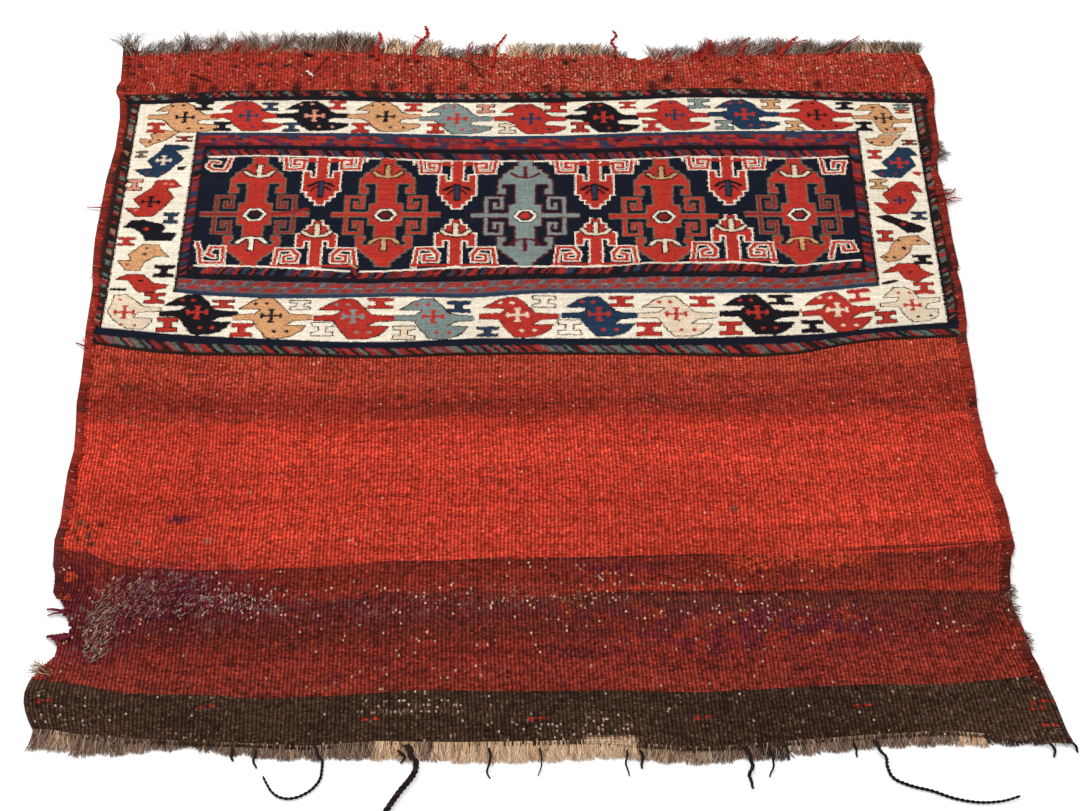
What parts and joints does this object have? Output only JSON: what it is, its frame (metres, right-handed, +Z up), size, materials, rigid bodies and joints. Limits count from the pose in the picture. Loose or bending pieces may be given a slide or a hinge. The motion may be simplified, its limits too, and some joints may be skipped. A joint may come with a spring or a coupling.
{
  "type": "kilim saddle bag",
  "caption": "Flat-woven wool saddle bag, opened out flat: patterned face above, striped plain back, dark closure band, frayed ends and loose closure cords.",
  "frame": {"origin": "middle of the cloth's extent across and along, on the surface that it lies on", "axes": "+Z up out of the patterned face, +Y along the cloth from the closure band to the mouth edge, +X across the cloth to the right"},
  "size_m": [0.6527, 0.8568, 0.0046],
  "materials": {
    "woven_wool": "matt hand-spun wool, flat woven",
    "edge_wool": "matt wrapped wool",
    "cord_wool": "matt plied dark wool"
  },
  "bodies": {
    "root": {"woven_cloth": "woven_wool", "left_edge_binding": "edge_wool", "right_edge_binding": "edge_wool", "right_edge_binding_end": "edge_wool", "closure_cord_left": "cord_wool", "closure_cord_middle": "cord_wool", "closure_cord_right": "cord_wool"}
  },
  "joints": []
}
